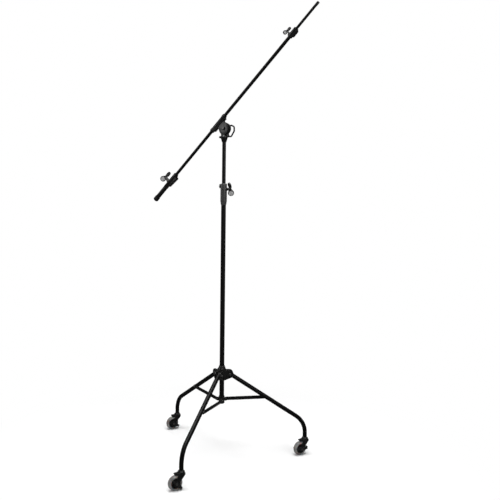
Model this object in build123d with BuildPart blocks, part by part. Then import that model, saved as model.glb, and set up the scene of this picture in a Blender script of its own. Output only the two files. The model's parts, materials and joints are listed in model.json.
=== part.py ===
from build123d import *
import os
from math import atan2, cos, degrees, hypot, radians, sin, tan

# Studio boom microphone stand, in millimetres.
# Origin on the floor, on the column axis. +Z is up. The boom's microphone end points to +X.

os.makedirs("parts", exist_ok=True)

# ---------------------------------------------------------------- driving dimensions
running_gap = 0.05          # radial clearance of every shaft that turns or slides
part_gap = 0.3              # gap between faces that pass each other

# tripod base
leg_azimuths = {"1": 48, "2": 168, "3": 288}
foot_radius = 500           # column axis to caster swivel axis
leg_pivot_radius = 46
leg_pivot_height = 487
leg_angle = 32.9            # below the horizontal
leg_radius = 12.5
leg_wall = 2
leg_bend_radius = 120
leg_foot_height = 104
leg_end_overhang = 13       # tube length inboard of the pivot
leg_bolt_radius = 4

# crown that slides on the column
crown_bottom = 449
crown_shoulder = 512
crown_top = 537
crown_radius = 25
crown_waist_radius = 20
clevis_radius = 22
clevis_half_width = 18.5
clevis_slot_start = 27
lock_azimuth = -42
lock_height = 522
lock_boss_top = 24

# struts and their hub at the foot of the column
hub_bottom = 310
hub_top = 354
hub_radius = 17
hub_pivot_radius = 24
hub_pivot_height = 333
strut_leg_radius = 272      # where a strut meets its leg
strut_height = 20
strut_thickness = 4
strut_offset = 13           # from the leg's centre plane to the strut's inner face
strut_pin_radius = 3

# casters
wheel_radius = 40
wheel_width = 24
wheel_core_radius = 28
caster_trail = 36
caster_heading = 74         # azimuth of the leading side
cheek_inner = 13.5
cheek_outer = 16.5
axle_radius = 4
swivel_bottom = 82
swivel_top = 99
swivel_radius = 19
stem_pin_radius = 5
stem_collar_radius = 9
pedal_inner = 17
pedal_outer = 19.5
pedal_reach = 47            # axle to the middle of the tread
pedal_tip_half_width = 7
pedal_angles = {"1": 0, "2": -28, "3": -42}     # below level, the last one locked

# column
column_radius = 14
column_bore = 12.5
column_bottom = 318
column_top = 1560
upper_radius = 11
upper_bore = 9.5
upper_bottom = 945
upper_top = 1885
collar_bottom = 1484
collar_top = 1608
collar_radius = 19
collar_azimuth = 10         # the height knob's side
knob_height = 1576
knob_boss_top = 20.5
pinch_height = 1593
pinch_radius = 22.3
ear_reach = 26.5

# wing knobs
knob_screw_radius = 4
large_knob = (23, 18, 25)   # lobe centre from the axis, lobe radius, lobe centre above the boss
small_knob = (14, 11.5, 22)
lobe_twist = 32             # the two lobes are pitched like a propeller's blades
lobe_half_thickness = 4

# pivot
pivot_height = 1927.7
disc_radius = 36
pivot_bolt_radius = 5
boom_disc = (-8, 0.5)       # extent along Y
column_disc = (2, 11)
lever_plane = 23            # the loop's centre plane, along Y
lever_rod_radius = 4.5
lever_hub_radius = 31
lever_hub_depth = 17
pivot_bolt_end = 28         # along Y
cap_bottom = 1849
cap_rim = 1876
cap_rim_radius = 21
shoulder_width = 50         # where the fixed half stands on the cap
shoulder_top = 1892
cap_screw_azimuth = 225
cap_screw_height = 1878
cap_boss_top = 25

# boom: positions are measured along it from the foot of the perpendicular from the pivot
boom_tilt = 40.3            # above the horizontal
boom_offset = 55            # boom axis above the pivot axis
boom_radius = 9.5
boom_bore = 8
boom_tail = -732
boom_head = 711
inner_radius = 7.25
inner_start = 195
inner_end = 873
tip_end = 893
tip_radius = 7.94           # 5/8 inch microphone thread
sleeve_start = -82
sleeve_end = 50
sleeve_radius = 12.8
sleeve_ring_radius = 14.3
sleeve_bore = 11
saddle = (-68, 42)          # deep part under the sleeve
saddle_depth = 18.5
weight_radius = 14
weight_start = -729
weight_end = -580
buffer_radius = 16.5
tail_sleeve = (-606, -484)
tail_block = (-587, -493)
tail_knob = (-566, 28)      # along the boom, and the top of the boss above its axis
tail_clamp_radius = 15
head_sleeve = (656, 713)
head_block = (661, 709)
head_knob = (665, 16)
head_clamp_radius = 13.5

# ---------------------------------------------------------------- derived places
leg_slope = tan(radians(leg_angle))
leg_corner_height = leg_pivot_height - (foot_radius - leg_pivot_radius) * leg_slope
strut_leg_height = leg_pivot_height - (strut_leg_radius - leg_pivot_radius) * leg_slope
strut_run = strut_leg_radius - hub_pivot_radius
strut_rise = strut_leg_height - hub_pivot_height
boom_direction = (cos(radians(boom_tilt)), 0, sin(radians(boom_tilt)))
boom_upward = (-sin(radians(boom_tilt)), 0, cos(radians(boom_tilt)))
boom_origin = (
    boom_offset * boom_upward[0],
    0,
    pivot_height + boom_offset * boom_upward[2],
)
boom_side = Plane(origin=boom_origin, x_dir=boom_direction, z_dir=(0, -1, 0))
pivot_side = Plane(origin=(0, 0, pivot_height), x_dir=(1, 0, 0), z_dir=(0, -1, 0))


def save(part, name):
    """Label a finished piece and write it as its own file."""
    part.label = name
    export_step(part, f"parts/{name}.step")


def heading(azimuth):
    """Horizontal unit vector at an azimuth from +X."""
    return (cos(radians(azimuth)), sin(radians(azimuth)), 0)


def side_plane(azimuth, radius=0, lead=None):
    """Upright plane with local x along the azimuth and local y up, so its normal is horizontal.

    The origin is on the floor at a radius from the column axis. A lead azimuth turns the plane there.
    """
    out = heading(azimuth)
    turn = azimuth if lead is None else lead
    normal = heading(turn - 90)
    return Plane(origin=(radius * out[0], radius * out[1], 0), x_dir=heading(turn), z_dir=normal)


def facing_plane(azimuth, radius, height, x_dir=(0, 0, 1)):
    """Plane that faces outwards from the column axis."""
    out = heading(azimuth)
    return Plane(origin=(radius * out[0], radius * out[1], height), x_dir=x_dir, z_dir=out)


def boom_section(along):
    """Cross-section of the boom: local x along +Y, local y away from the pivot."""
    place = boom_side.from_local_coords((along, 0, 0))
    return Plane(origin=place, x_dir=(0, 1, 0), z_dir=boom_direction)


def tube(plane, outer, inner, length):
    """Round tube that starts on a plane and runs along its normal."""
    with BuildPart() as piece:
        with BuildSketch(plane):
            Circle(outer)
            Circle(inner, mode=Mode.SUBTRACT)
        extrude(amount=length)
    return piece.part


# ---------------------------------------------------------------- tripod base
def leg_tube(azimuth):
    """Round leg tube, bent down to upright at its foot."""
    side = side_plane(azimuth)
    inner_x = leg_pivot_radius - leg_end_overhang * cos(radians(leg_angle))
    inner_y = leg_pivot_height + leg_end_overhang * sin(radians(leg_angle))
    with BuildPart() as leg:
        with BuildLine(side) as axis:
            FilletPolyline(
                (inner_x, inner_y),
                (foot_radius, leg_corner_height),
                (foot_radius, leg_foot_height),
                radius=leg_bend_radius,
            )
        path = axis.wire()
        with BuildSketch(Plane(origin=path @ 0, z_dir=path % 0)):
            Circle(leg_radius)
            Circle(leg_radius - leg_wall, mode=Mode.SUBTRACT)
        sweep(path=path)
        with BuildSketch(side):
            with Locations((leg_pivot_radius, leg_pivot_height)):
                Circle(leg_bolt_radius + running_gap)
        extrude(amount=leg_radius + 1, both=True, mode=Mode.SUBTRACT)
    return leg.part


def crown_casting():
    """Sliding hub with a coned top and three forked ears for the legs."""
    with BuildPart() as crown:
        with BuildSketch(Plane.XZ):
            with BuildLine():
                Polyline(
                    (0, crown_bottom),
                    (crown_waist_radius, crown_bottom),
                    (crown_waist_radius, crown_bottom + 14),
                    (crown_radius, crown_bottom + 28),
                    (crown_radius, crown_shoulder),
                    (column_radius + 2, crown_top),
                    (0, crown_top),
                    close=True,
                )
            make_face()
        revolve(axis=Axis.Z)
        for azimuth in leg_azimuths.values():
            side = side_plane(azimuth)
            with BuildSketch(side):
                with Locations((leg_pivot_radius, leg_pivot_height)):
                    Circle(clevis_radius)
                with Locations((column_radius, crown_bottom + 6), (column_radius, crown_shoulder - 6)):
                    Circle(4)
                make_hull()
            extrude(amount=clevis_half_width, both=True)
        with BuildSketch(facing_plane(lock_azimuth, 0, lock_height)):
            Circle(8.5)
        extrude(amount=lock_boss_top)
        for azimuth in leg_azimuths.values():
            side = side_plane(azimuth)
            with BuildSketch(side):
                with Locations((clevis_slot_start, crown_bottom - 10)):
                    Rectangle(60, 90, align=(Align.MIN, Align.MIN))
            extrude(amount=leg_radius + part_gap, both=True, mode=Mode.SUBTRACT)
            with BuildSketch(side):
                with Locations((leg_pivot_radius, leg_pivot_height)):
                    Circle(leg_bolt_radius + running_gap)
            extrude(amount=clevis_half_width + 1, both=True, mode=Mode.SUBTRACT)
        with BuildSketch(facing_plane(lock_azimuth, 0, lock_height)):
            Circle(knob_screw_radius + running_gap)
        extrude(amount=lock_boss_top + 1, mode=Mode.SUBTRACT)
        with BuildSketch(Plane.XY.offset(crown_bottom)):
            Circle(column_radius + running_gap)
        extrude(amount=crown_top - crown_bottom, mode=Mode.SUBTRACT)
        rims = crown.edges().filter_by(GeomType.CIRCLE).group_by(Axis.Z)
        chamfer(rims[0], length=1)
    return crown.part


def leg_pivot_bolts():
    """Three bolts, one through each pair of crown ears and the leg between them."""
    with BuildPart() as bolts:
        for azimuth in leg_azimuths.values():
            side = side_plane(azimuth)
            with BuildSketch(side.offset(-clevis_half_width - 8)):
                with Locations((leg_pivot_radius, leg_pivot_height)):
                    Circle(leg_bolt_radius)
            extrude(amount=2 * clevis_half_width + 8)
            with BuildSketch(side.offset(clevis_half_width)):
                with Locations((leg_pivot_radius, leg_pivot_height)):
                    Circle(8)
            extrude(amount=4.5, taper=12)
    return bolts.part


def leg_pivot_nuts():
    """Three hexagon nuts for the leg pivot bolts."""
    with BuildPart() as nuts:
        for azimuth in leg_azimuths.values():
            with BuildSketch(side_plane(azimuth).offset(-clevis_half_width)):
                with Locations((leg_pivot_radius, leg_pivot_height)):
                    RegularPolygon(7.5, 6)
                    Circle(leg_bolt_radius, mode=Mode.SUBTRACT)
            extrude(amount=-6.5)
    return nuts.part


def crown_lock_screw():
    """Socket head screw that clamps the crown to the column."""
    with BuildPart() as screw:
        with BuildSketch(facing_plane(lock_azimuth, column_radius + part_gap, lock_height)):
            Circle(knob_screw_radius)
        extrude(amount=lock_boss_top - column_radius - part_gap)
        with BuildSketch(facing_plane(lock_azimuth, lock_boss_top, lock_height)):
            Circle(6.5)
        extrude(amount=8)
        with BuildSketch(facing_plane(lock_azimuth, lock_boss_top + 8, lock_height)):
            RegularPolygon(3.4, 6)
        extrude(amount=-5, mode=Mode.SUBTRACT)
    return screw.part


def strut_hub():
    """Closed socket on the column's foot, with an ear beside each strut."""
    with BuildPart() as hub:
        with BuildSketch(Plane.XY.offset(hub_bottom)):
            Circle(hub_radius)
        extrude(amount=hub_top - hub_bottom)
        chamfer(hub.edges().group_by(Axis.Z)[0], length=4)
        for azimuth in leg_azimuths.values():
            side = side_plane(azimuth)
            with BuildSketch(side.offset(-strut_offset + part_gap)):
                with Locations((hub_pivot_radius, hub_pivot_height)):
                    Circle(strut_height / 2)
                with Locations((hub_pivot_radius / 2, hub_pivot_height)):
                    Rectangle(hub_pivot_radius, strut_height)
            extrude(amount=7.5)
            with BuildSketch(side):
                with Locations((hub_pivot_radius, hub_pivot_height)):
                    Circle(strut_pin_radius)
            extrude(amount=-strut_offset - 1, mode=Mode.SUBTRACT)
        with BuildSketch(Plane.XY.offset(column_bottom)):
            Circle(column_radius)
        extrude(amount=hub_top, mode=Mode.SUBTRACT)
    return hub.part


def strut_hub_pins():
    """Three rivets on which the struts turn at the hub."""
    inner_face = strut_offset - part_gap - 7.5
    outer_face = strut_offset + strut_thickness + part_gap
    with BuildPart() as pins:
        for azimuth in leg_azimuths.values():
            side = side_plane(azimuth)
            with BuildSketch(side.offset(-outer_face)):
                with Locations((hub_pivot_radius, hub_pivot_height)):
                    Circle(strut_pin_radius)
            extrude(amount=outer_face - inner_face)
            with BuildSketch(side.offset(-outer_face)):
                with Locations((hub_pivot_radius, hub_pivot_height)):
                    Circle(6)
            extrude(amount=-3, taper=20)
            with BuildSketch(side.offset(-inner_face)):
                with Locations((hub_pivot_radius, hub_pivot_height)):
                    Circle(5)
            extrude(amount=2.5, taper=20)
    return pins.part


def strut_bar(azimuth):
    """Flat bar on edge, with a round end and an eye at each pivot."""
    length = hypot(strut_run, strut_rise)
    middle = (hub_pivot_radius + strut_run / 2, hub_pivot_height + strut_rise / 2)
    ends = [(hub_pivot_radius, hub_pivot_height), (strut_leg_radius, strut_leg_height)]
    with BuildPart() as strut:
        with BuildSketch(side_plane(azimuth).offset(-strut_offset)):
            with Locations(middle):
                SlotCenterToCenter(length, strut_height, rotation=degrees(atan2(strut_rise, strut_run)))
            with Locations(ends[0]):
                Circle(strut_pin_radius + running_gap, mode=Mode.SUBTRACT)
            with Locations(ends[1]):
                Circle(strut_pin_radius, mode=Mode.SUBTRACT)
        extrude(amount=-strut_thickness)
    return strut.part


def strut_rivet(azimuth):
    """Rivet at the strut's leg end. It stops just short of the leg tube."""
    side = side_plane(azimuth)
    outer_face = strut_offset + strut_thickness
    place = (strut_leg_radius, strut_leg_height)
    with BuildPart() as rivet:
        with BuildSketch(side.offset(-outer_face)):
            with Locations(place):
                Circle(strut_pin_radius)
        extrude(amount=strut_thickness)
        with BuildSketch(side.offset(-outer_face)):
            with Locations(place):
                Circle(6.5)
        extrude(amount=-3, taper=20)
    return rivet.part


# ---------------------------------------------------------------- casters
def caster_stem(azimuth):
    """Plug in the leg's foot, with the pin and collar that hold the fork."""
    fork_gap = 1.3
    with BuildPart() as stem:
        with BuildSketch(side_plane(azimuth, foot_radius)):
            with BuildLine():
                Polyline(
                    (0, 72.3),
                    (stem_pin_radius, 72.3),
                    (stem_pin_radius, 88 + running_gap),
                    (stem_collar_radius, 88 + running_gap),
                    (stem_collar_radius, 95 - running_gap),
                    (stem_pin_radius, 95 - running_gap),
                    (stem_pin_radius, swivel_top + fork_gap),
                    (leg_radius, swivel_top + fork_gap),
                    (leg_radius, leg_foot_height),
                    (leg_radius - leg_wall, leg_foot_height),
                    (leg_radius - leg_wall, leg_foot_height + 28),
                    (0, leg_foot_height + 28),
                    close=True,
                )
            make_face()
        spin = heading(azimuth)
        revolve(axis=Axis((foot_radius * spin[0], foot_radius * spin[1], 0), (0, 0, 1)))
    return stem.part


def caster_fork(azimuth):
    """Round swivel head over two cheeks that reach back to the axle."""
    side = side_plane(azimuth, foot_radius, caster_heading)
    head = Plane(origin=side.origin, x_dir=(1, 0, 0), z_dir=(0, 0, 1))
    with BuildPart() as fork:
        with BuildSketch(side):
            with Locations((-caster_trail, wheel_radius)):
                Circle(13)
            with Locations((0, swivel_bottom + 4)):
                Rectangle(34, 10)
            make_hull()
        extrude(amount=cheek_outer, both=True)
        with BuildSketch(side):
            with Locations((-28, swivel_bottom + 6)):
                Rectangle(26, 7)
        extrude(amount=11, both=True)
        with BuildSketch(head.offset(swivel_bottom)):
            Circle(swivel_radius)
        extrude(amount=swivel_top - swivel_bottom)
        fillet(fork.edges().group_by(Axis.Z)[-1], radius=4)
        with BuildSketch(side):
            with Locations((-caster_trail, wheel_radius)):
                Circle(wheel_radius + 3)
        extrude(amount=cheek_inner, both=True, mode=Mode.SUBTRACT)
        with BuildSketch(side):
            with Locations((-caster_trail, wheel_radius)):
                Circle(axle_radius)
        extrude(amount=cheek_outer + 1, both=True, mode=Mode.SUBTRACT)
        with BuildSketch(head.offset(72)):
            Circle(stem_pin_radius + running_gap)
        extrude(amount=40, mode=Mode.SUBTRACT)
        with BuildSketch(head.offset(88)):
            Circle(stem_collar_radius + running_gap)
        extrude(amount=7, mode=Mode.SUBTRACT)
    return fork.part


def caster_axle(azimuth):
    """Axle bolt through the cheeks and the pedal arms."""
    side = side_plane(azimuth, foot_radius, caster_heading)
    face = pedal_outer + part_gap
    with BuildPart() as axle:
        with BuildSketch(side):
            with Locations((-caster_trail, wheel_radius)):
                Circle(axle_radius)
        extrude(amount=face, both=True)
        for sign in (1, -1):
            with BuildSketch(side.offset(sign * face)):
                with Locations((-caster_trail, wheel_radius)):
                    RegularPolygon(7, 6)
            extrude(amount=sign * 4)
    return axle.part


def wheel_core(azimuth):
    """Wheel centre with a hub boss and a dished web."""
    side = side_plane(azimuth, foot_radius, caster_heading)
    with BuildPart() as core:
        with BuildSketch(side):
            with Locations((-caster_trail, wheel_radius)):
                Circle(wheel_core_radius)
        extrude(amount=wheel_width / 2 - 1, both=True)
        with BuildSketch(side):
            with Locations((-caster_trail, wheel_radius)):
                Circle(9)
        extrude(amount=cheek_inner - part_gap, both=True)
        for sign in (1, -1):
            with BuildSketch(side.offset(sign * (wheel_width / 2 - 1))):
                with Locations((-caster_trail, wheel_radius)):
                    Circle(wheel_core_radius - 4)
                    Circle(9, mode=Mode.SUBTRACT)
            extrude(amount=-sign * 6, mode=Mode.SUBTRACT)
        with BuildSketch(side):
            with Locations((-caster_trail, wheel_radius)):
                Circle(axle_radius + running_gap)
        extrude(amount=cheek_outer, both=True, mode=Mode.SUBTRACT)
    return core.part


def wheel_tyre(azimuth):
    """Soft tread ring with rounded shoulders."""
    side = side_plane(azimuth, foot_radius, caster_heading)
    with BuildPart() as tyre:
        with BuildSketch(side):
            with Locations((-caster_trail, wheel_radius)):
                Circle(wheel_radius)
                Circle(wheel_core_radius, mode=Mode.SUBTRACT)
        extrude(amount=wheel_width / 2, both=True)
        rims = tyre.edges().filter_by(GeomType.CIRCLE).group_by(SortBy.RADIUS)
        fillet(rims[-1], radius=5)
    return tyre.part


def brake_pedal(azimuth, angle):
    """Two arms on the axle, joined in front of the wheel by a tread that narrows to its tip."""
    side = side_plane(azimuth, foot_radius, caster_heading)
    axle_place = side.from_local_coords((-caster_trail, wheel_radius, 0))
    reach = side.x_dir * cos(radians(angle)) + side.y_dir * sin(radians(angle))
    arms = Plane(origin=axle_place, x_dir=reach, z_dir=side.z_dir)
    above = Plane(origin=arms.origin, x_dir=arms.x_dir, z_dir=arms.y_dir)
    tread_start = wheel_radius + 3
    tip = pedal_reach + 6
    with BuildPart() as pedal:
        with BuildSketch(arms):
            Circle(12.5)
            with Locations((-28, 1)):
                Circle(4.5)
            with Locations((pedal_reach, 0)):
                Circle(5)
            make_hull()
        extrude(amount=pedal_outer, both=True)
        with BuildSketch(arms):
            Circle(wheel_radius + 3.5)
        extrude(amount=pedal_inner, both=True, mode=Mode.SUBTRACT)
        with BuildSketch(arms):
            Circle(axle_radius + running_gap)
        extrude(amount=pedal_outer + 1, both=True, mode=Mode.SUBTRACT)
        with BuildSketch(above):
            with BuildLine():
                Polyline(
                    (-50, -pedal_outer),
                    (tread_start, -pedal_outer),
                    (tip, -pedal_tip_half_width),
                    (tip, pedal_tip_half_width),
                    (tread_start, pedal_outer),
                    (-50, pedal_outer),
                    close=True,
                )
            make_face()
        extrude(amount=30, both=True, mode=Mode.INTERSECT)
    return pedal.part


# ---------------------------------------------------------------- column
def height_collar():
    """Sleeve on top of the lower column, with a knob boss and a pair of pinch ears."""
    ear_azimuth = collar_azimuth + 180
    with BuildPart() as collar:
        with BuildSketch(Plane.XZ):
            with BuildLine():
                Polyline(
                    (0, collar_bottom),
                    (column_radius + 1.5, collar_bottom),
                    (collar_radius, collar_bottom + 22),
                    (collar_radius, collar_top - 2),
                    (collar_radius - 2, collar_top),
                    (0, collar_top),
                    close=True,
                )
            make_face()
        revolve(axis=Axis.Z)
        with BuildSketch(facing_plane(collar_azimuth, 0, knob_height)):
            Circle(10)
        extrude(amount=knob_boss_top)
        with BuildSketch(facing_plane(ear_azimuth, 0, pinch_height)):
            Rectangle(24, 15)
        extrude(amount=ear_reach)
        fillet(collar.edges().filter_by(Axis.Z).sort_by(SortBy.DISTANCE)[-2:], radius=2)
        with BuildSketch(Plane.XY.offset(collar_bottom)):
            Circle(column_radius)
        extrude(amount=column_top - collar_bottom, mode=Mode.SUBTRACT)
        with BuildSketch(Plane.XY.offset(column_top)):
            Circle(column_bore)
        extrude(amount=collar_top - 4 - column_top, mode=Mode.SUBTRACT)
        with BuildSketch(Plane.XY.offset(column_top)):
            Circle(upper_radius + part_gap)
        extrude(amount=60, mode=Mode.SUBTRACT)
        with BuildSketch(facing_plane(ear_azimuth, 0, collar_top)):
            Rectangle(80, 2.5)
        extrude(amount=ear_reach + 1, mode=Mode.SUBTRACT)
        with BuildSketch(facing_plane(collar_azimuth, 0, knob_height)):
            Circle(knob_screw_radius + running_gap)
        extrude(amount=knob_boss_top + 1, mode=Mode.SUBTRACT)
        with BuildSketch(side_plane(ear_azimuth)):
            with Locations((pinch_radius, pinch_height)):
                Circle(2.5)
        extrude(amount=20, both=True, mode=Mode.SUBTRACT)
    return collar.part


def collar_pinch_screw():
    """Cap screw and nut that draw the collar's ears together."""
    side = side_plane(collar_azimuth + 180)
    with BuildPart() as screw:
        with BuildSketch(side.offset(-7.5)):
            with Locations((pinch_radius, pinch_height)):
                Circle(2.5)
        extrude(amount=15)
        with BuildSketch(side.offset(7.5)):
            with Locations((pinch_radius, pinch_height)):
                Circle(4.5)
        extrude(amount=4)
        with BuildSketch(side.offset(-7.5)):
            with Locations((pinch_radius, pinch_height)):
                RegularPolygon(4.6, 6)
        extrude(amount=-4)
    return screw.part


def collar_bush():
    """Split plastic bush that guides the upper column in the collar."""
    with BuildPart() as bush:
        with BuildSketch(Plane.XY.offset(column_top + part_gap)):
            Circle(column_bore)
            Circle(upper_radius + running_gap, mode=Mode.SUBTRACT)
        extrude(amount=collar_top - 4 - column_top - 2 * part_gap)
        with BuildSketch(facing_plane(collar_azimuth + 180, 0, knob_height)):
            Rectangle(90, 2.5)
        extrude(amount=20, mode=Mode.SUBTRACT)
        with BuildSketch(facing_plane(collar_azimuth, 0, knob_height)):
            Circle(knob_screw_radius + part_gap)
        extrude(amount=20, mode=Mode.SUBTRACT)
    return bush.part


def guide_bush():
    """Plastic cup on the upper column's lower end, which slides in the lower column."""
    with BuildPart() as bush:
        with BuildSketch(Plane.XY.offset(upper_bottom - 16)):
            Circle(column_bore - running_gap)
        extrude(amount=50)
        with BuildSketch(Plane.XY.offset(upper_bottom - running_gap)):
            Circle(upper_radius + running_gap)
        extrude(amount=50, mode=Mode.SUBTRACT)
        with BuildSketch(Plane.XY.offset(upper_bottom - 20)):
            Circle(6)
        extrude(amount=30, mode=Mode.SUBTRACT)
    return bush.part


def wing_knob(boss_face, screw_length, lobe):
    """Wing screw that stands on a boss: plane normal outwards, local x along the wings.

    lobe is (centre from the axis, radius, height above the boss).
    """
    offset, radius, height = lobe
    twist = radians(lobe_twist)
    with BuildPart() as knob:
        with BuildSketch(boss_face.offset(-screw_length)):
            Circle(knob_screw_radius)
        extrude(amount=screw_length + 2)
        with BuildSketch(boss_face.offset(part_gap)):
            Circle(radius / 2 + 0.5)
        extrude(amount=height - 1, taper=6)
        for sign in (1, -1):
            along = boss_face.x_dir * sign
            blade = boss_face.z_dir * cos(twist) + boss_face.z_dir.cross(along) * sin(twist)
            lobe_plane = Plane(origin=boss_face.offset(height).origin, x_dir=along, z_dir=along.cross(blade))
            with BuildSketch(lobe_plane):
                with Locations((offset, 0)):
                    Circle(radius)
                Circle(radius / 3)
                make_hull()
            extrude(amount=lobe_half_thickness, both=True)
            for face in (1, -1):
                with BuildSketch(lobe_plane.offset(face * lobe_half_thickness)):
                    with Locations((offset, 0)):
                        Circle(radius - 4)
                extrude(amount=-face * 2, mode=Mode.SUBTRACT)
    return knob.part


# ---------------------------------------------------------------- pivot
def column_bracket():
    """Coned cap on the upper column, with the fixed half of the tilt clutch standing on it."""
    thickness = column_disc[1] - column_disc[0]
    with BuildPart() as bracket:
        with BuildSketch(Plane.XZ):
            with BuildLine():
                Polyline(
                    (0, cap_bottom),
                    (upper_radius + 2, cap_bottom),
                    (cap_rim_radius, cap_rim),
                    (cap_rim_radius, cap_rim + 5),
                    (cap_rim_radius - 9, cap_rim + 15),
                    (0, cap_rim + 15),
                    close=True,
                )
            make_face()
        revolve(axis=Axis.Z)
        with BuildSketch(pivot_side.offset(-column_disc[1])):
            Circle(disc_radius)
        extrude(amount=thickness)
        chamfer(bracket.edges().filter_by(GeomType.CIRCLE).sort_by(Axis.Y)[-1], length=3)
        with BuildSketch(pivot_side.offset(-column_disc[1])):
            Circle(disc_radius - 3)
            with Locations((0, (cap_rim + shoulder_top) / 2 - pivot_height)):
                Rectangle(shoulder_width, shoulder_top - cap_rim)
            make_hull()
        extrude(amount=thickness)
        with BuildSketch(pivot_side):
            Circle(pivot_bolt_radius + running_gap)
        extrude(amount=disc_radius, both=True, mode=Mode.SUBTRACT)
        with BuildSketch(facing_plane(cap_screw_azimuth, 0, cap_screw_height)):
            Circle(7)
        extrude(amount=cap_boss_top)
        with BuildSketch(Plane.XY.offset(cap_bottom - 1)):
            Circle(upper_radius)
        extrude(amount=upper_top - cap_bottom + 1, mode=Mode.SUBTRACT)
        with BuildSketch(facing_plane(cap_screw_azimuth, 0, cap_screw_height)):
            Circle(3)
        extrude(amount=cap_boss_top + 1, mode=Mode.SUBTRACT)
    return bracket.part


def cap_screw():
    """Screw that holds the coned cap on the upper column."""
    with BuildPart() as screw:
        with BuildSketch(facing_plane(cap_screw_azimuth, upper_radius + part_gap, cap_screw_height)):
            Circle(3)
        extrude(amount=cap_boss_top - upper_radius - part_gap)
        with BuildSketch(facing_plane(cap_screw_azimuth, cap_boss_top, cap_screw_height)):
            Circle(5.5)
        extrude(amount=5)
    return screw.part


def friction_washer():
    """Fibre disc between the two halves of the tilt clutch."""
    with BuildPart() as washer:
        with BuildSketch(pivot_side.offset(-column_disc[0])):
            Circle(disc_radius - 5)
            Circle(pivot_bolt_radius + part_gap, mode=Mode.SUBTRACT)
        extrude(amount=column_disc[0] - boom_disc[1] - running_gap)
    return washer.part


def boom_bracket():
    """Tilting half of the clutch, with the sleeve that carries the boom."""
    with BuildPart() as bracket:
        with BuildSketch(pivot_side.offset(-boom_disc[1])):
            Circle(disc_radius)
        extrude(amount=boom_disc[1] - boom_disc[0])
        with BuildSketch(boom_side.offset(-boom_disc[1])):
            with Locations((0, -boom_offset)):
                Circle(disc_radius - 4)
            with Locations((0, 4 - saddle_depth)):
                Rectangle(60, 8)
            make_hull()
        extrude(amount=boom_disc[1] - boom_disc[0])
        with BuildSketch(boom_section(sleeve_start)):
            Circle(sleeve_radius)
        extrude(amount=sleeve_end - sleeve_start)
        with BuildSketch(boom_section(saddle[0])):
            Circle(sleeve_radius)
            with Locations((0, 4 - saddle_depth)):
                Rectangle(22, 8)
            make_hull()
        extrude(amount=saddle[1] - saddle[0])
        for start in (sleeve_start, sleeve_end - 14):
            with BuildSketch(boom_section(start)):
                Circle(sleeve_ring_radius)
            extrude(amount=14)
        with BuildSketch(boom_section(sleeve_start - 1)):
            Circle(sleeve_bore)
        extrude(amount=sleeve_end - sleeve_start + 2, mode=Mode.SUBTRACT)
        with BuildSketch(pivot_side):
            Circle(pivot_bolt_radius)
        extrude(amount=20, both=True, mode=Mode.SUBTRACT)
    return bracket.part


def boom_bushes():
    """Flanged plastic bush in each end of the boom sleeve."""
    with BuildPart() as bushes:
        for start, flange in ((sleeve_start, sleeve_start - 2), (sleeve_end - 22, sleeve_end)):
            with BuildSketch(boom_section(start)):
                Circle(sleeve_bore)
            extrude(amount=22)
            with BuildSketch(boom_section(flange)):
                Circle(sleeve_radius)
            extrude(amount=2)
        with BuildSketch(boom_section(sleeve_start - 5)):
            Circle(boom_radius + running_gap)
        extrude(amount=sleeve_end - sleeve_start + 10, mode=Mode.SUBTRACT)
    return bushes.part


def pivot_bolt():
    """Hexagon bolt on which the boom tilts."""
    with BuildPart() as bolt:
        with BuildSketch(pivot_side.offset(-boom_disc[0])):
            RegularPolygon(10, 6)
        extrude(amount=6.5)
        with BuildSketch(pivot_side.offset(-boom_disc[0])):
            Circle(pivot_bolt_radius)
        extrude(amount=boom_disc[0] - pivot_bolt_end)
    return bolt.part


def pivot_lever():
    """Clamp nut with a loop-shaped lever."""
    inner_face = column_disc[1] + part_gap
    with BuildPart() as lever:
        with BuildSketch(pivot_side.offset(-inner_face)):
            Circle(lever_hub_radius)
        extrude(amount=-lever_hub_depth)
        chamfer(lever.edges().group_by(Axis.Y)[-1], length=4)
        with BuildLine(pivot_side.offset(-lever_plane)) as loop:
            FilletPolyline(
                (6, 8),
                (34, 19),
                (56, 10),
                (57, -15),
                (34, -46),
                (15, -46),
                (4, -10),
                radius=10,
            )
        path = loop.wire()
        with BuildSketch(Plane(origin=path @ 0, z_dir=path % 0)):
            Circle(lever_rod_radius)
        sweep(path=path)
        with BuildSketch(pivot_side):
            Circle(pivot_bolt_radius + running_gap)
        extrude(amount=-40, mode=Mode.SUBTRACT)
    return lever.part


def pivot_lever_cap():
    """Round cap over the end of the pivot bolt."""
    outer_face = column_disc[1] + part_gap + lever_hub_depth
    with BuildPart() as cap:
        with BuildSketch(pivot_side.offset(-outer_face)):
            Circle(14)
        extrude(amount=-4, taper=25)
    return cap.part


# ---------------------------------------------------------------- boom
def boom_tube():
    """Main boom tube."""
    return tube(boom_section(boom_tail), boom_radius, boom_bore, boom_head - boom_tail)


def boom_tail_plug():
    """Plastic plug in the boom's tail."""
    with BuildPart() as plug:
        with BuildSketch(boom_section(boom_tail - 2)):
            Circle(boom_radius)
        extrude(amount=2)
        with BuildSketch(boom_section(boom_tail)):
            Circle(boom_bore)
        extrude(amount=18)
    return plug.part


def knob_face(knob, turn=0):
    """Top of a clamp's knob boss, with local x along the knob's wings."""
    along, top = knob
    origin = boom_side.from_local_coords((along, top, 0))
    wing = boom_side.from_local_coords((along + cos(radians(turn)), top, sin(radians(turn))))
    return Plane(origin=origin, x_dir=wing - origin, z_dir=boom_upward)


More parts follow.
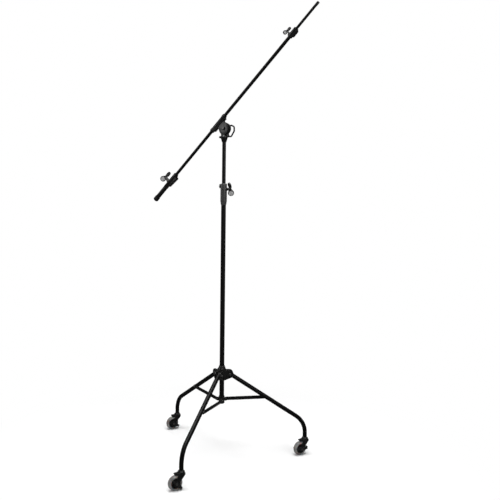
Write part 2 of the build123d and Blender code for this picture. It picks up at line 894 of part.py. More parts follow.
def clamp_casting(radius, sleeve, block, depth, knob, bore_steps):
    """Cast clamp around the boom: a round sleeve, a block under it and a knob boss over it.

    sleeve and block are (start, end) along the boom. depth is the block's reach at its two ends.
    bore_steps lists (start, end, bore radius) of the stretches of the bore.
    """
    with BuildPart() as clamp:
        with BuildSketch(boom_section(sleeve[0])):
            Circle(radius)
        extrude(amount=sleeve[1] - sleeve[0])
        with BuildSketch(boom_side):
            with BuildLine():
                Polyline(
                    (block[0], 0),
                    (block[0], -depth[0] + 8),
                    (block[0] + 8, -depth[0]),
                    (block[1] - 4, -depth[1]),
                    (block[1], -depth[1] + 4),
                    (block[1], 0),
                    close=True,
                )
            make_face()
        extrude(amount=11, both=True)
        boss = knob_face(knob)
        with BuildSketch(boss):
            Circle(10)
        extrude(amount=-knob[1])
        for start, end, bore in bore_steps:
            with BuildSketch(boom_section(start)):
                Circle(bore)
            extrude(amount=end - start, mode=Mode.SUBTRACT)
        with BuildSketch(boss):
            Circle(knob_screw_radius + running_gap)
        extrude(amount=-knob[1], mode=Mode.SUBTRACT)
    return clamp.part


def tail_buffer():
    """Rubber cap around the counterweight's rear end."""
    with BuildPart() as buffer:
        with BuildSketch(boom_section(weight_start - 5)):
            Circle(buffer_radius)
        extrude(amount=27)
        chamfer(buffer.edges().group_by(Axis(boom_origin, boom_direction))[0], length=1.5)
        with BuildSketch(boom_section(weight_start)):
            Circle(weight_radius)
        extrude(amount=30, mode=Mode.SUBTRACT)
        with BuildSketch(boom_section(weight_start - 6)):
            Circle(boom_radius + part_gap)
        extrude(amount=10, mode=Mode.SUBTRACT)
    return buffer.part


def boom_tip():
    """Plug in the inner boom tube, with the thread that carries the microphone clip."""
    with BuildPart() as tip:
        with BuildSketch(boom_section(inner_end - 28)):
            Circle(inner_radius - 1.5)
        extrude(amount=28)
        with BuildSketch(boom_section(inner_end)):
            Circle(tip_radius)
        extrude(amount=tip_end - inner_end)
        chamfer(tip.edges().group_by(Axis(boom_origin, boom_direction))[-1], length=1)
    return tip.part


# ---------------------------------------------------------------- build every piece
for key, azimuth in leg_azimuths.items():
    save(leg_tube(azimuth), f"leg_{key}_tube")
    save(strut_bar(azimuth), f"strut_{key}")
    save(strut_rivet(azimuth), f"strut_{key}_rivet")
    save(caster_stem(azimuth), f"caster_{key}_stem")
    save(caster_fork(azimuth), f"caster_{key}_fork")
    save(caster_axle(azimuth), f"caster_{key}_axle")
    save(wheel_core(azimuth), f"wheel_{key}_core")
    save(wheel_tyre(azimuth), f"wheel_{key}_tyre")
    save(brake_pedal(azimuth, pedal_angles[key]), f"brake_{key}_pedal")

save(crown_casting(), "crown")
save(leg_pivot_bolts(), "leg_pivot_bolts")
save(leg_pivot_nuts(), "leg_pivot_nuts")
save(crown_lock_screw(), "crown_lock_screw")
save(strut_hub(), "strut_hub")
save(strut_hub_pins(), "strut_hub_pins")

lower_length = column_top - column_bottom
upper_length = upper_top - upper_bottom
save(tube(Plane.XY.offset(column_bottom), column_radius, column_bore, lower_length), "column_lower_tube")
save(tube(Plane.XY.offset(upper_bottom), upper_radius, upper_bore, upper_length), "column_upper_tube")
save(height_collar(), "height_collar")
save(collar_pinch_screw(), "collar_pinch_screw")
save(collar_bush(), "collar_bush")
save(guide_bush(), "guide_bush")
knob_lean = radians(20)
knob_wing = Vector(0, 0, -cos(knob_lean)) + Vector(*heading(collar_azimuth + 90)) * sin(knob_lean)
height_knob_face = facing_plane(collar_azimuth, knob_boss_top, knob_height, knob_wing)
save(wing_knob(height_knob_face, knob_boss_top - upper_radius - part_gap, large_knob), "height_knob")

save(column_bracket(), "column_bracket")
save(cap_screw(), "cap_screw")
save(friction_washer(), "friction_washer")
save(boom_bracket(), "boom_bracket")
save(boom_bushes(), "boom_bushes")
save(pivot_bolt(), "pivot_bolt")
save(pivot_lever(), "pivot_lever")
save(pivot_lever_cap(), "pivot_lever_cap")

save(boom_tube(), "boom_tube")
save(boom_tail_plug(), "boom_tail_plug")
head_bore = [(650, boom_head, boom_radius), (boom_head, 730, inner_radius + part_gap)]
head_depth = (16.5, 16.5)
head_clamp = clamp_casting(head_clamp_radius, head_sleeve, head_block, head_depth, head_knob, head_bore)
save(head_clamp, "boom_clamp")
head_screw = head_knob[1] - boom_radius - part_gap
save(wing_knob(knob_face(head_knob, -18), head_screw, small_knob), "boom_clamp_knob")
save(tube(boom_section(boom_head - 70), boom_bore, inner_radius + running_gap, 70), "boom_inner_bush")
inner_length = inner_end - inner_start
save(tube(boom_section(inner_start), inner_radius, inner_radius - 1.5, inner_length), "boom_inner_tube")
save(boom_tip(), "boom_tip")

weight_bore = boom_radius + running_gap
save(tube(boom_section(weight_start), weight_radius, weight_bore, weight_end - weight_start), "counterweight")
tail_bore = [(-610, weight_end, weight_radius), (weight_end, -480, weight_bore)]
tail_depth = (20, 27)
tail_clamp = clamp_casting(tail_clamp_radius, tail_sleeve, tail_block, tail_depth, tail_knob, tail_bore)
save(tail_clamp, "counterweight_clamp")
tail_screw = tail_knob[1] - boom_radius - part_gap
save(wing_knob(knob_face(tail_knob, -18), tail_screw, large_knob), "counterweight_knob")
save(tail_buffer(), "tail_buffer")
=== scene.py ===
import json
import math

import bmesh
import bpy
import numpy as np
from mathutils import Matrix, Vector

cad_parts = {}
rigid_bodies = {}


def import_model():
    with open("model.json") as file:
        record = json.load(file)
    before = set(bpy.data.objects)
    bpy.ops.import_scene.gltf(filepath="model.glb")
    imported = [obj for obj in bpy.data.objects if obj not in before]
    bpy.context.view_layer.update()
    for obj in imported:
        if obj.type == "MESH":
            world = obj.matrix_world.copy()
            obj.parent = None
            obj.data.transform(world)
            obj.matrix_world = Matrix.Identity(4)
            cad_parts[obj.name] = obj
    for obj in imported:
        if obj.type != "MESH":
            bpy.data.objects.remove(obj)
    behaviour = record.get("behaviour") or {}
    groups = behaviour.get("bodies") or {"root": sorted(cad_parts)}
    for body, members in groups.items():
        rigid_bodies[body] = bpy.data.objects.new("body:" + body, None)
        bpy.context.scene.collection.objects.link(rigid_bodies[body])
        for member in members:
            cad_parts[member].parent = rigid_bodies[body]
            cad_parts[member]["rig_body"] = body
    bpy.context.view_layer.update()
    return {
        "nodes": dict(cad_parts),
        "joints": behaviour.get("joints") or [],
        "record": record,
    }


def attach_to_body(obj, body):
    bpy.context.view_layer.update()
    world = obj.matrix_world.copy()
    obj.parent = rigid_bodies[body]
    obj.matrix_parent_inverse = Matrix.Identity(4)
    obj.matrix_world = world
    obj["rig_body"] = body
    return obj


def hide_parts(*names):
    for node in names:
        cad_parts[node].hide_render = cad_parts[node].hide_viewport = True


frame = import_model()
scene = bpy.context.scene
nodes = frame["nodes"]
joints = {joint["name"]: joint for joint in frame["joints"]}
slots = {part["node"]: part["material_slot"] for part in frame["record"]["subparts"]}
legs = ("1", "2", "3")
mm = 0.001


# ---------------------------------------------------------------- node materials
class Shader:
    """A material under construction: adds nodes and links them."""

    def __init__(self, name):
        self.material = bpy.data.materials.new(name)
        self.material.use_nodes = True
        self.tree = self.material.node_tree
        self.surface = self.tree.nodes["Principled BSDF"]
        self.coords = self.tree.nodes.new("ShaderNodeTexCoord").outputs["Object"]

    def put(self, socket, value):
        """Set an input to a number, a colour or another node's output."""
        if isinstance(value, bpy.types.NodeSocket):
            self.tree.links.new(value, socket)
        else:
            socket.default_value = value

    def math(self, operation, a, b=0.0, clamp=False):
        node = self.tree.nodes.new("ShaderNodeMath")
        node.operation = operation
        node.use_clamp = clamp
        self.put(node.inputs[0], a)
        self.put(node.inputs[1], b)
        return node.outputs[0]

    def mix(self, factor, a, b):
        """Blend two colours."""
        node = self.tree.nodes.new("ShaderNodeMix")
        node.data_type = "RGBA"
        self.put(node.inputs["Factor"], factor)
        self.put(node.inputs[6], a)
        self.put(node.inputs[7], b)
        return node.outputs[2]

    def span(self, value, low, high, start, end):
        """Map low..high onto start..end, smoothly and clamped."""
        node = self.tree.nodes.new("ShaderNodeMapRange")
        node.interpolation_type = "SMOOTHSTEP"
        self.put(node.inputs["Value"], value)
        limits = {"From Min": low, "From Max": high, "To Min": start, "To Max": end}
        for name, number in limits.items():
            self.put(node.inputs[name], number)
        return node.outputs["Result"]

    def noise(self, scale, detail=3.0, stretch=(1, 1, 1), turn=(0, 0, 0), roughness=0.5):
        """Noise on the object's own coordinates, in cells per metre."""
        mapping = self.tree.nodes.new("ShaderNodeMapping")
        self.put(mapping.inputs["Vector"], self.coords)
        mapping.vector_type = "TEXTURE"
        mapping.inputs["Rotation"].default_value = turn
        mapping.inputs["Scale"].default_value = stretch
        node = self.tree.nodes.new("ShaderNodeTexNoise")
        self.put(node.inputs["Vector"], mapping.outputs[0])
        node.inputs["Scale"].default_value = scale
        node.inputs["Detail"].default_value = detail
        node.inputs["Roughness"].default_value = roughness
        return node.outputs["Fac"]

    def cells(self, scale):
        """Voronoi distance, for cast grain and pitting."""
        node = self.tree.nodes.new("ShaderNodeTexVoronoi")
        self.put(node.inputs["Vector"], self.coords)
        node.inputs["Scale"].default_value = scale
        return node.outputs["Distance"]

    def edge(self, radius):
        """1 on sharp outer edges, 0 on flats, from a rounded-normal comparison."""
        bevel = self.tree.nodes.new("ShaderNodeBevel")
        bevel.samples = 4
        bevel.inputs["Radius"].default_value = radius
        geometry = self.tree.nodes.new("ShaderNodeNewGeometry")
        dot = self.tree.nodes.new("ShaderNodeVectorMath")
        dot.operation = "DOT_PRODUCT"
        self.put(dot.inputs[0], bevel.outputs[0])
        self.put(dot.inputs[1], geometry.outputs["Normal"])
        return self.span(dot.outputs["Value"], 0.985, 0.80, 0.0, 1.0)

    def upward(self):
        """How far a surface faces up, 0 to 1."""
        geometry = self.tree.nodes.new("ShaderNodeNewGeometry")
        split = self.tree.nodes.new("ShaderNodeSeparateXYZ")
        self.put(split.inputs[0], geometry.outputs["Normal"])
        return self.span(split.outputs["Z"], 0.55, 1.0, 0.0, 1.0)

    def bump(self, *layers):
        """Stack of (height, strength, distance in metres) layers onto the surface normal."""
        normal = None
        for height, strength, distance in layers:
            node = self.tree.nodes.new("ShaderNodeBump")
            self.put(node.inputs["Height"], height)
            node.inputs["Strength"].default_value = strength
            node.inputs["Distance"].default_value = distance
            if normal is not None:
                self.put(node.inputs["Normal"], normal)
            normal = node.outputs["Normal"]
        self.put(self.surface.inputs["Normal"], normal)

    def finish(self, color, rough, metallic=0.0, **more):
        self.put(self.surface.inputs["Base Color"], color)
        self.put(self.surface.inputs["Roughness"], rough)
        self.put(self.surface.inputs["Metallic"], metallic)
        for name, value in more.items():
            self.put(self.surface.inputs[name.replace("_", " ")], value)
        return self.material


def grey(level, warm=0.0):
    """Neutral colour, slightly warm or cool."""
    return (level * (1 + warm), level, level * (1 - warm), 1)


bare_steel = grey(0.20, 0.02)
settled_dust = grey(0.24, 0.05)
plastic_dust = grey(0.32, 0.04)
all_alike = (1, 1, 1)
long_grain = (1, 1, 14)


def enamel(
    name,
    level,
    rough,
    grain=900.0,
    depth=0.00006,
    wear=0.35,
    stretch=all_alike,
    turn=(0, 0, 0),
    shine=0.3,
):
    """Black stove enamel or powder coat on steel, with worn edges, handling marks and a little dust."""
    s = Shader(name)
    patch = s.noise(9, 4, stretch, turn)
    fine = s.noise(grain, 2)
    scratch = s.noise(260, 5, long_grain, turn, 0.65)
    worn = s.math("MULTIPLY", s.edge(0.0011), s.span(s.noise(160, 4), 0.42, 0.62, 0.0, wear))
    dust = s.math("MULTIPLY", s.upward(), s.span(s.noise(34, 5), 0.40, 0.75, 0.0, 0.10))
    color = s.mix(s.span(patch, 0.3, 0.7, 0.0, 1.0), grey(level * 0.75), grey(level * 1.35, 0.01))
    color = s.mix(worn, color, bare_steel)
    color = s.mix(dust, color, settled_dust)
    marks = s.span(scratch, 0.35, 0.7, -0.05, 0.09)
    roughness = s.math("ADD", s.math("ADD", rough, marks), s.math("MULTIPLY", dust, 0.8), clamp=True)
    s.bump((fine, 0.35, depth), (scratch, 0.12, 0.00003), (patch, 0.1, 0.0004))
    return s.finish(color, roughness, s.math("MULTIPLY", worn, 0.9), Specular_IOR_Level=shine)


def moulded(name, level, rough, grain=1400.0, shine=0.5, edge_level=0.10):
    """Moulded plastic or nylon with a fine spark texture and polished edges."""
    s = Shader(name)
    patch = s.noise(22, 3)
    fine = s.noise(grain, 2)
    flow = s.noise(90, 4, (1, 1, 5))
    edge = s.math("MULTIPLY", s.edge(0.0009), s.span(s.noise(120, 3), 0.3, 0.7, 0.2, 0.7))
    dust = s.math("MULTIPLY", s.upward(), s.span(s.noise(60, 5), 0.42, 0.8, 0.0, 0.10))
    color = s.mix(s.span(patch, 0.3, 0.7, 0.0, 1.0), grey(level * 0.85), grey(level * 1.2))
    color = s.mix(edge, color, grey(edge_level))
    color = s.mix(dust, color, plastic_dust)
    spread = s.math("ADD", rough, s.span(flow, 0.3, 0.7, -0.06, 0.08))
    roughness = s.math("SUBTRACT", spread, s.math("MULTIPLY", edge, 0.15))
    s.bump((fine, 0.4, 0.00005), (flow, 0.08, 0.0002))
    return s.finish(color, roughness, 0.0, Specular_IOR_Level=shine)


def urethane(name):
    """Smoky translucent tread rubber, scuffed where it rolls."""
    s = Shader(name)
    cloud = s.noise(38, 4)
    scuff = s.noise(420, 5, roughness=0.7)
    fine = s.noise(1600, 2)
    color = s.mix(s.span(cloud, 0.3, 0.7, 0.0, 1.0), grey(0.12, 0.01), grey(0.24, 0.02))
    color = s.mix(s.span(scuff, 0.52, 0.72, 0.0, 0.5), color, grey(0.04, 0.03))
    rough = s.math("ADD", 0.30, s.span(scuff, 0.35, 0.7, 0.0, 0.28))
    s.bump((fine, 0.25, 0.00005), (scuff, 0.2, 0.00012))
    return s.finish(color, rough, Subsurface_Weight=0.35, Subsurface_Scale=0.004, Coat_Weight=0.15)


def plated(name, level, rough, turn=(0, 0, 0)):
    """Plated steel with fine turning marks."""
    s = Shader(name)
    lines = s.noise(700, 4, (1, 1, 0.15), turn, 0.6)
    stain = s.noise(55, 4)
    pits = s.cells(900)
    color = s.mix(s.span(stain, 0.35, 0.7, 0.0, 1.0), grey(level * 0.75, 0.02), grey(level * 1.15))
    color = s.mix(s.span(s.noise(230, 4), 0.6, 0.75, 0.0, 0.5), color, grey(level * 0.4, 0.04))
    roughness = s.math("ADD", rough, s.span(lines, 0.3, 0.7, -0.08, 0.12))
    s.bump((lines, 0.25, 0.00005), (pits, 0.1, 0.00004))
    return s.finish(color, roughness, 0.9)


boom_axis = Vector(joints["boom_slide"]["axis"]).normalized()
along_boom = (0, math.acos(boom_axis.z), 0)

tube_coat = {"wear": 0.22, "stretch": long_grain}
boom_coat = {"wear": 0.25, "stretch": long_grain, "turn": along_boom, "shine": 0.2}
rough_cast = {"grain": 650.0, "depth": 0.00016}
smooth_steel = {"grain": 800.0, "depth": 0.0001, "turn": along_boom, "shine": 0.3}
recipes = {
    "black_enamel": (enamel, {"level": 0.0035, "rough": 0.30, "shine": 0.22, **tube_coat}),
    # darker, less shiny copy of black_enamel for the legs: painted shade that mutes their highlights
    "leg_enamel_painted_shade": (enamel, {"level": 0.003, "rough": 0.22, "shine": 0.08, **tube_coat}),
    "boom_enamel": (enamel, {"level": 0.004, "rough": 0.38, **boom_coat}),
    "cast_black": (enamel, {"level": 0.007, "rough": 0.25, "wear": 0.8, "shine": 0.27, **rough_cast}),
    "collar_grey": (enamel, {"level": 0.045, "rough": 0.40, "wear": 0.5, "shine": 0.5, **rough_cast}),
    "weight_black": (enamel, {"level": 0.007, "rough": 0.40, **smooth_steel}),
    "fork_black": (enamel, {"level": 0.004, "rough": 0.22, "grain": 1100.0, "wear": 0.7, "shine": 0.4}),
    "knob_plastic": (moulded, {"level": 0.008, "rough": 0.27, "shine": 0.4, "edge_level": 0.05}),
    "bush_plastic": (moulded, {"level": 0.012, "rough": 0.5}),
    "wheel_core": (moulded, {"level": 0.006, "rough": 0.34, "shine": 0.35, "edge_level": 0.06}),
    "rubber": (moulded, {"level": 0.008, "rough": 0.7, "grain": 700.0, "shine": 0.3, "edge_level": 0.03}),
    "fibre": (moulded, {"level": 0.20, "rough": 0.8, "grain": 500.0, "shine": 0.2, "edge_level": 0.25}),
    # light grey for the knob inlays: painted reflection on the lit face of each lobe
    "painted_reflection_grey": (moulded, {"level": 0.62, "rough": 0.34, "grain": 1800.0, "edge_level": 0.5}),
    "wheel_grey": (urethane, {}),
    "fastener_steel": (plated, {"level": 0.12, "rough": 0.34}),
    "thread_steel": (plated, {"level": 0.05, "rough": 0.34, "turn": along_boom}),
}
finishes = {name: recipe(name, **values) for name, (recipe, values) in recipes.items()}


def finish_of(node):
    """The finish of a CAD node. Boom tubes have their grain along the boom, and legs a darker, duller copy
    of the tube enamel that paints shade on them.
    """
    if node == "height_collar":
        return finishes["collar_grey"]
    if slots[node] == "black_enamel" and node.startswith("boom_"):
        return finishes["boom_enamel"]
    if slots[node] == "black_enamel" and node.startswith("leg_"):
        return finishes["leg_enamel_painted_shade"]
    return finishes[slots[node]]


# ---------------------------------------------------------------- mesh tools
def place_at(origin, across, axis):
    """Matrix of a local frame in metres: x across, z along the axis."""
    z = Vector(axis).normalized()
    x = (Vector(across) - z * z.dot(Vector(across))).normalized()
    turn = Matrix((x, z.cross(x), z)).transposed()
    return Matrix.Translation(Vector(origin)) @ turn.to_4x4()


def points_of(node):
    """Vertices of a CAD node, as rows."""
    return np.array([vertex.co for vertex in nodes[node].data.vertices])


def offsets_across(node, origin, axis):
    """Vertices of a CAD node as offsets from an axis, at right angles to it."""
    offsets = points_of(node) - np.array(origin)
    return offsets - np.outer(offsets @ np.array(axis), axis)


def spread_across(node, origin, axis):
    """Direction across an axis in which a node reaches farthest."""
    offsets = offsets_across(node, origin, axis)
    directions = np.linalg.eigh(offsets.T @ offsets).eigenvectors
    return Vector(directions[:, -1])


def reach_across(node, origin, axis):
    """Direction from an axis to the far end of a node."""
    offsets = offsets_across(node, origin, axis)
    lengths = np.linalg.norm(offsets, axis=1)
    far = offsets[lengths > lengths.max() - 2 * mm]
    return Vector(far.mean(axis=0)).normalized()


def low_along(node, origin, axis):
    """How far a node reaches backwards along an axis."""
    return float(((points_of(node) - np.array(origin)) @ np.array(axis)).min())


def add_lathe(work, place, profile, segments):
    """Closed outline of (radius, along) points turned about the local z axis."""
    rings = []
    for step in range(segments):
        turn = 2 * math.pi * step / segments
        cosine, sine = math.cos(turn), math.sin(turn)
        points = [Vector((radius * cosine, radius * sine, along)) for radius, along in profile]
        rings.append([work.verts.new(place @ point) for point in points])
    for step, ring in enumerate(rings):
        after = rings[(step + 1) % segments]
        for i in range(len(profile)):
            j = (i + 1) % len(profile)
            work.faces.new((ring[i], after[i], after[j], ring[j]))


def join_rings(work, rings):
    """Closed skin over rings of the same number of vertices, with a face at each end."""
    count = len(rings[0])
    for ring, after in zip(rings, rings[1:]):
        for k in range(count):
            j = (k + 1) % count
            work.faces.new((ring[k], ring[j], after[j], after[k]))
    work.faces.new(list(reversed(rings[0])))
    work.faces.new(rings[-1])


def add_slab(work, place, outline, layers):
    """Convex anticlockwise outline in local x and y, swept through (inset, height) layers."""
    count = len(outline)
    rings = []
    for inset, height in layers:
        ring = []
        for k, point in enumerate(outline):
            tangent = (outline[(k + 1) % count] - outline[k - 1]).normalized()
            moved = point + inset * Vector((-tangent.y, tangent.x))
            ring.append(work.verts.new(place @ Vector((moved.x, moved.y, height))))
        rings.append(ring)
    join_rings(work, rings)


def circle(center, radius, start=0.0, end=2 * math.pi, count=32):
    """Points of an arc, without its end point when it is a whole circle."""
    whole = end - start > 2 * math.pi - 1e-6
    steps = count if whole else count - 1
    turns = [start + (end - start) * k / steps for k in range(count)]
    return [Vector(center) + Vector((radius * math.cos(turn), radius * math.sin(turn))) for turn in turns]


def paddle(tip, tip_radius, root, root_radius):
    """Outline around two circles: a round lobe that narrows to its root."""
    line = Vector(tip) - Vector(root)
    lean = math.atan2(line.y, line.x)
    half = math.acos((root_radius - tip_radius) / line.length)
    outer = circle(tip, tip_radius, lean - half, lean + half, 30)
    inner = circle(root, root_radius, lean + half, lean + 2 * math.pi - half, 8)
    return outer + inner


def bar(length, width):
    """Rectangle about the origin of its left end."""
    corners = ((0, -width / 2), (length, -width / 2), (length, width / 2), (0, width / 2))
    return [Vector(corner) for corner in corners]


def settle(work, sharp=38):
    """Merge, orient and smooth a finished bmesh into a mesh, with creases above a sharp angle."""
    bmesh.ops.remove_doubles(work, verts=work.verts, dist=1e-6)
    bmesh.ops.dissolve_degenerate(work, edges=work.edges, dist=1e-7)
    bmesh.ops.recalc_face_normals(work, faces=work.faces)
    mesh = bpy.data.meshes.new("piece")
    work.to_mesh(mesh)
    work.free()
    mesh.shade_smooth()
    mesh.set_sharp_from_angle(angle=math.radians(sharp))
    return mesh


def show(name, mesh, node):
    """Show a mesh in place of a CAD node, on its body and with its finish."""
    piece = attach(name, mesh, node, finish_of(node))
    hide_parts(node)


def attach(name, mesh, node, finish):
    """Put a mesh in the scene on the body of a CAD node."""
    piece = bpy.data.objects.new(name, mesh)
    scene.collection.objects.link(piece)
    mesh.name = name
    mesh.materials.clear()
    mesh.materials.append(finish)
    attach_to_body(piece, nodes[node]["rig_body"])
    return piece


def add_rounded(work, node, width, segments=2):
    """A CAD node's own shape with its sharp edges rounded."""
    flat, corner = math.radians(0.5), math.radians(32)
    work.from_mesh(nodes[node].data)
    bmesh.ops.remove_doubles(work, verts=work.verts, dist=1e-6)
    bmesh.ops.dissolve_limit(work, angle_limit=flat, verts=work.verts, edges=work.edges)
    joined = [edge for edge in work.edges if len(edge.link_faces) == 2]
    bmesh.ops.bevel(
        work,
        geom=[edge for edge in joined if edge.calc_face_angle(0) > corner],
        offset=width,
        segments=segments,
        profile=0.5,
        affect="EDGES",
        clamp_overlap=True,
        loop_slide=True,
    )


def rounded(node, width, segments=2):
    """Show a CAD node with rounded edges."""
    work = bmesh.new()
    add_rounded(work, node, width, segments)
    show(node + "_look", settle(work), node)


# ---------------------------------------------------------------- wing knobs
large_knob = (23 * mm, 18 * mm, 25 * mm)      # lobe centre from the axis, lobe radius, height
small_knob = (14 * mm, 11.5 * mm, 22 * mm)
lobe_twist = math.radians(32)
rim_width = 4.4 * mm                          # black rim around a lobe's inlay, the light grey disc that paints a reflection on one face
screw_radius = 4 * mm


def knob_hub(low, height, lobe_radius):
    """Outline of the screw, the hub's collar and its tapered grip with a rounded top."""
    collar = lobe_radius / 2 + 0.5 * mm
    face = 0.3 * mm
    screw = [
        (0, low), (screw_radius - 0.4 * mm, low), (screw_radius, low + 0.5 * mm), (screw_radius, face),
    ]
    flange = [
        (collar - 0.6 * mm, face), (collar, 1 * mm), (collar, 3 * mm), (collar - 0.8 * mm, 3.8 * mm),
    ]
    grip = [
        (collar - 1.4 * mm, 9 * mm), (collar - 1.8 * mm, height - 3 * mm),
        (collar - 2.8 * mm, height - 1 * mm), (collar - 5 * mm, height), (0, height),
    ]
    return screw + flange + grip


def lobe_layers():
    """Dished lobe with a thick rounded rim, as (inset, height) layers."""
    below = [(5.2, -1.9), (4.2, -2.4), (3.4, -3.7), (2.2, -4.2), (0.9, -3.9), (0.1, -2.6), (0, 0)]
    above = [(inset, -deep) for inset, deep in reversed(below[:-1])]
    return [(inset * mm, deep * mm) for inset, deep in below + above]


def wing_knob(node, joint, lobe, painted_reflection_side):
    """Turned hub and two lobes pitched like propeller blades, each with a light grey inlay in one dish that
    paints the reflection on the lit face.
    """
    origin, axis = Vector(joint["pos_m"]), Vector(joint["axis"])
    offset, radius, height = lobe
    across = spread_across(node, origin, axis)
    outline = paddle((offset, 0), radius, (0, 0), radius / 3)
    disc = circle((offset, 0), radius - rim_width)
    plate = [(0, 1.5 * mm), (0, 2.5 * mm), (0.5 * mm, 3.0 * mm)]
    body, painted_reflection = bmesh.new(), bmesh.new()
    hub = knob_hub(low_along(node, origin, axis), height, radius)
    add_lathe(body, place_at(origin, across, axis), hub, 40)
    for side in (1, -1):
        along = across * side
        blade = axis * math.cos(lobe_twist) + axis.cross(along) * math.sin(lobe_twist)
        wing = place_at(origin + axis * height, along, along.cross(blade))
        add_slab(body, wing, outline, lobe_layers())
        # light grey disc in the dish on one chosen side only: a painted reflection
        add_slab(painted_reflection, wing, disc, [(inset, deep * painted_reflection_side) for inset, deep in plate])
    show(node + "_wings", settle(body), node)
    attach(node + "_painted_reflections", settle(painted_reflection), node, finishes["painted_reflection_grey"])


# ---------------------------------------------------------------- wheels and casters
def turn_wheel_part(key, half, segments):
    """Bmesh of a wheel part from half of its outline in millimetres, and its place on the axle."""
    joint = joints[f"wheel_{key}_spin"]
    profile = half + [(radius, -along) for radius, along in reversed(half)]
    work = bmesh.new()
    place = place_at(joint["pos_m"], (0, 0, 1), joint["axis"])
    add_lathe(work, place, [(radius * mm, along * mm) for radius, along in profile], segments)
    return work, place


def tyre(key):
    """Tread ring with two grooves, round shoulders and a bead at the rim."""
    half = [
        (28.0, 10.6), (29.2, 12.0), (31.0, 12.0), (31.6, 11.4), (34.8, 11.4), (36.8, 10.9), (38.6, 9.4),
        (39.6, 7.4), (39.9, 6.4), (38.9, 6.1), (38.9, 5.1), (40.0, 4.8),
    ]
    work, _ = turn_wheel_part(key, half, 80)
    show(f"wheel_{key}_tyre_look", settle(work, 30), f"wheel_{key}_tyre")


def wheel_centre(key):
    """Rim, thin web, hub and ribs on each side."""
    half = [
        (4.05, 13.2), (8.0, 13.2), (9.0, 12.2), (9.6, 5.4), (10.6, 4.4), (22.6, 4.4), (23.6, 5.4),
        (24.2, 11.0), (25.0, 11.6), (27.4, 11.6), (28.0, 10.6),
    ]
    work, place = turn_wheel_part(key, half, 64)
    ribs, rib_start, rib_length, rib_width = 8, 8.6 * mm, 15.4 * mm, 2.2 * mm
    for step in range(ribs):
        turn = Matrix.Rotation(2 * math.pi * step / ribs, 4, "Z")
        spoke = place @ turn @ Matrix.Translation((rib_start, 0, 0))
        for side in (1, -1):
            layers = [(0, 3.6 * mm * side), (0, 8.6 * mm * side), (0.5 * mm, 9.2 * mm * side)]
            add_slab(work, spoke, bar(rib_length, rib_width), layers)
    show(f"wheel_{key}_core_look", settle(work, 30), f"wheel_{key}_core")


def pedal(key):
    """Brake pedal with rounded edges and grip ridges across its tapered tread."""
    node = f"brake_{key}_pedal"
    joint = joints[f"brake_{key}_press"]
    reach = reach_across(node, joint["pos_m"], joint["axis"])
    work = bmesh.new()
    add_rounded(work, node, 0.8 * mm)
    place = place_at(joint["pos_m"], reach, joint["axis"])
    ridge_crest, ridge_foot, ridge_half = -5.8 * mm, -4.4 * mm, 0.6 * mm
    tread_start, start_half_width, taper = 43 * mm, 17.5 * mm, 1.1
    for along in (45 * mm, 47.5 * mm, 50 * mm):
        half_width = start_half_width - (along - tread_start) * taper
        left, right = along - ridge_half, along + ridge_half
        corners = [(left, ridge_crest), (right, ridge_crest), (right, ridge_foot), (left, ridge_foot)]
        add_slab(work, place, [Vector(corner) for corner in corners], [(0, -half_width), (0, half_width)])
    show(node + "_look", settle(work), node)


# ---------------------------------------------------------------- microphone thread
def microphone_thread():
    """Plug and stud with a real 27 turns per inch helix."""
    node = "boom_tip"
    mount = next(mount for mount in frame["record"]["mounts"] if mount["name"] == "microphone_thread")
    offsets = (points_of(node) - np.array(mount["pos_m"])) @ np.array(boom_axis)
    start, end = float(offsets.min()), float(offsets.max())
    radius, pitch, depth, segments = mount["dims"]["r_mm"] * mm, 25.4 * mm / 27, 0.5 * mm, 48
    shoulder = start + 28 * mm
    run_in, run_out, chamfer = 1.0 * mm, 1.5 * mm, 1.0 * mm
    place = place_at(mount["pos_m"], (0, 1, 0), boom_axis)
    work = bmesh.new()
    plug_radius, plug_chamfer = 5.7 * mm, 0.5 * mm
    plug = [
        (0, start), (plug_radius - plug_chamfer, start), (plug_radius, start + 0.6 * mm),
        (plug_radius, shoulder), (0, shoulder),
    ]
    add_lathe(work, place, plug, segments)
    rows_per_turn = 8
    rows = int((end - shoulder) / pitch * rows_per_turn)
    rings = []
    for row in range(rows + 1):
        along = shoulder + (end - shoulder) * row / rows
        fade = min(1.0, (end - along) / run_out, (along - shoulder) / run_in)
        lead_in = max(0.0, chamfer - (end - along))
        ring = []
        for step in range(segments):
            phase = along / pitch - step / segments
            cut = depth * fade * (0.5 - 0.5 * math.cos(2 * math.pi * phase))
            turn = 2 * math.pi * step / segments
            out = radius - cut - lead_in
            ring.append(work.verts.new(place @ Vector((out * math.cos(turn), out * math.sin(turn), along))))
        rings.append(ring)
    join_rings(work, rings)
    show("boom_tip_look", settle(work, 60), node)


# ---------------------------------------------------------------- build the looks
for node in nodes:
    nodes[node].data.materials.clear()
    nodes[node].data.materials.append(finish_of(node))

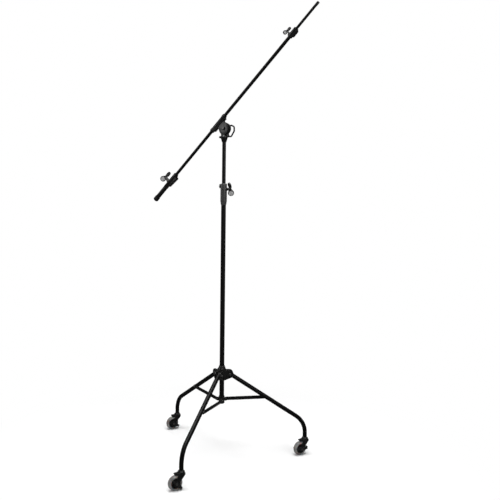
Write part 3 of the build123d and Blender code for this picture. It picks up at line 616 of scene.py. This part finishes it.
# the last argument picks which face of each lobe gets the painted reflection
wing_knob("height_knob", joints["height_knob_turn"], large_knob, 1)
wing_knob("boom_clamp_knob", joints["boom_clamp_knob_turn"], small_knob, -1)
wing_knob("counterweight_knob", joints["counterweight_knob_turn"], large_knob, -1)
for key in legs:
    tyre(key)
    wheel_centre(key)
    pedal(key)
    rounded(f"caster_{key}_fork", 1.2 * mm)
    rounded(f"caster_{key}_axle", 0.5 * mm)
    rounded(f"strut_{key}", 0.7 * mm)
    rounded(f"strut_{key}_rivet", 0.8 * mm)
for node in (
    "crown", "boom_bracket", "column_bracket", "height_collar", "boom_clamp", "counterweight_clamp",
):
    rounded(node, 1.3 * mm, 3)
for node in (
    "strut_hub", "pivot_lever", "pivot_lever_cap", "tail_buffer", "counterweight", "boom_tail_plug",
):
    rounded(node, 0.9 * mm)
for node in (
    "leg_pivot_bolts", "leg_pivot_nuts", "crown_lock_screw", "pivot_bolt", "cap_screw", "strut_hub_pins",
):
    rounded(node, 0.6 * mm)
rounded("collar_pinch_screw", 0.4 * mm)
microphone_thread()


# ---------------------------------------------------------------- stage, light and camera
unseen_strength = 0.10        # brightness of the white surround for all but the camera's own rays


def backdrop():
    """Pale floor that takes soft shadows near the stand and fades to white away from it."""
    half, fade_start, fade_end = 9.0, 0.7, 1.5
    mesh = bpy.data.meshes.new("floor")
    corners = [(-half, -half, 0), (half, -half, 0), (half, half, 0), (-half, half, 0)]
    mesh.from_pydata(corners, [], [(0, 1, 2, 3)])
    floor = bpy.data.objects.new("floor", mesh)
    scene.collection.objects.link(floor)
    s = Shader("pale_floor")
    color = s.mix(s.span(s.noise(1.3, 3), 0.3, 0.7, 0.0, 1.0), grey(0.87), grey(0.90))
    s.bump((s.noise(420, 3), 0.05, 0.0001), (s.noise(30, 2), 0.02, 0.0005))
    s.finish(color, 0.8, 0.0, Specular_IOR_Level=0.1)
    distance = s.tree.nodes.new("ShaderNodeVectorMath")
    distance.operation = "LENGTH"
    s.put(distance.inputs[0], s.coords)
    glow = s.tree.nodes.new("ShaderNodeEmission")
    path = s.tree.nodes.new("ShaderNodeLightPath")
    seen = path.outputs["Is Camera Ray"]
    s.put(glow.inputs["Strength"], s.span(seen, 0.0, 1.0, unseen_strength, 1.0))
    away = s.span(distance.outputs["Value"], fade_start, fade_end, 0.0, 1.0)
    hidden = s.math("MAXIMUM", away, path.outputs["Is Glossy Ray"])
    blend = s.tree.nodes.new("ShaderNodeMixShader")
    s.put(blend.inputs[0], hidden)
    s.put(blend.inputs[1], s.surface.outputs[0])
    s.put(blend.inputs[2], glow.outputs[0])
    s.put(s.tree.nodes["Material Output"].inputs["Surface"], blend.outputs[0])
    mesh.materials.append(s.material)


def area_light(name, place, target, size, power):
    """Soft light that faces a point."""
    data = bpy.data.lights.new(name, "AREA")
    data.shape = "RECTANGLE"
    data.size, data.size_y = size
    data.energy = power
    lamp = bpy.data.objects.new(name, data)
    scene.collection.objects.link(lamp)
    lamp.location = place
    lamp.rotation_euler = (Vector(target) - Vector(place)).to_track_quat("-Z", "Y").to_euler()


def studio():
    """Big soft lights in a white surround that the black enamel hardly reflects."""
    world = bpy.data.worlds.new("surround")
    scene.world = world
    world.use_nodes = True
    tree = world.node_tree
    shade = tree.nodes["Background"]
    shade.inputs["Color"].default_value = (1, 1, 1, 1)
    path = tree.nodes.new("ShaderNodeLightPath")
    span = tree.nodes.new("ShaderNodeMapRange")
    tree.links.new(path.outputs["Is Camera Ray"], span.inputs["Value"])
    span.inputs["To Min"].default_value = unseen_strength
    span.inputs["To Max"].default_value = 1.0
    tree.links.new(span.outputs["Result"], shade.inputs["Strength"])
    area_light("overhead", (0.6, -0.4, 5.2), (0, 0, 0), (4.0, 4.0), 330)
    area_light("left_fill", (-3.2, -3.4, 3.0), (0, 0, 1.1), (1.6, 3.0), 60)
    area_light("right_key", (3.9, -0.6, 2.6), (0, 0, 1.2), (1.0, 2.4), 50)


def photograph_camera():
    """Camera at the photograph's viewing angle, level with the stand's height collar."""
    pitch, roll = 0.046, 0.0081
    eye = Vector((2.7167, -2.9401, 1.675))
    level = Vector((-1, 1, 0)).normalized()
    ahead = level * math.cos(pitch) - Vector((0, 0, math.sin(pitch)))
    right = level.cross((0, 0, 1))
    up = right.cross(ahead)
    rolled_right = right * math.cos(roll) + up * math.sin(roll)
    rolled_up = up * math.cos(roll) - right * math.sin(roll)
    data = bpy.data.cameras.new("camera")
    data.sensor_width = 36
    data.lens = 49.39
    data.shift_x = 0.107
    data.shift_y = -0.093
    camera = bpy.data.objects.new("camera", data)
    scene.collection.objects.link(camera)
    turn = Matrix((rolled_right, rolled_up, -ahead)).transposed()
    camera.matrix_world = Matrix.Translation(eye) @ turn.to_4x4()
    scene.camera = camera


backdrop()
studio()
photograph_camera()
scene.view_settings.view_transform = "Standard"
